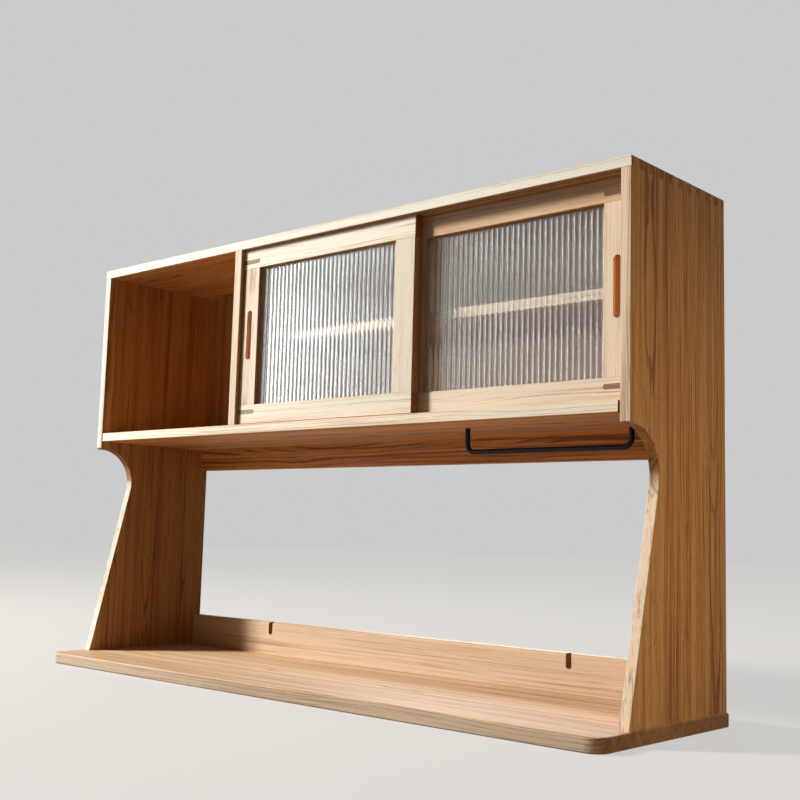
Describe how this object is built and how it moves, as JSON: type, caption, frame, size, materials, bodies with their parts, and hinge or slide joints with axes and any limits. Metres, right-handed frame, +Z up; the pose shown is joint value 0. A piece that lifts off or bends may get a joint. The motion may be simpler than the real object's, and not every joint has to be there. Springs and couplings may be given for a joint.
{
  "type": "kitchen hutch cupboard",
  "caption": "Oak kitchen hutch on a worktop: an open cubby, a cupboard behind sliding reeded-glass doors, curved side boards, a hanging rod and cable slots at the back.",
  "frame": {"origin": "middle of the worktop's underside", "axes": "+X to the right along the hutch, +Y from the front to the back, +Z up"},
  "size_m": [1.508, 0.42, 0.956],
  "materials": {
    "oak": "oiled, matt",
    "walnut": "oiled, matt",
    "reeded_glass": "clear, ribbed",
    "black_metal": "matt black powder coat",
    "steel": "zinc plated",
    "nylon": "natural"
  },
  "bodies": {
    "carcass": {"back_rail_dowels": "oak", "back_screws": "steel", "base_inserts": "steel", "bottom_board": "oak", "cubby_back": "oak", "cupboard_back": "oak", "inner_shelf": "oak", "left_side": "oak", "lower_back_rail": "oak", "partition": "oak", "partition_dowels": "oak", "right_side": "oak", "shelf_pins": "steel", "side_dowels": "oak", "top_board": "oak", "towel_rail": "black_metal", "towel_rail_inserts": "steel", "upper_back_rail": "oak", "worktop": "oak", "worktop_screws": "steel"},
    "left_door": {"left_door_bead_pins": "steel", "left_door_bottom_rail": "oak", "left_door_corner_keys": "walnut", "left_door_glass": "reeded_glass", "left_door_glazing_beads": "oak", "left_door_glides": "nylon", "left_door_inner_stile": "oak", "left_door_outer_stile": "oak", "left_door_top_rail": "oak"},
    "right_door": {"right_door_bead_pins": "steel", "right_door_bottom_rail": "oak", "right_door_corner_keys": "walnut", "right_door_glass": "reeded_glass", "right_door_glazing_beads": "oak", "right_door_glides": "nylon", "right_door_inner_stile": "oak", "right_door_outer_stile": "oak", "right_door_top_rail": "oak"}
  },
  "joints": [
    {"name": "left_door_slide", "type": "slide", "parent": "carcass", "child": "left_door", "axis": [1, 0, 0], "range_m": [0, 0.458]},
    {"name": "right_door_slide", "type": "slide", "parent": "carcass", "child": "right_door", "axis": [-1, 0, 0], "range_m": [0, 0.458]}
  ]
}
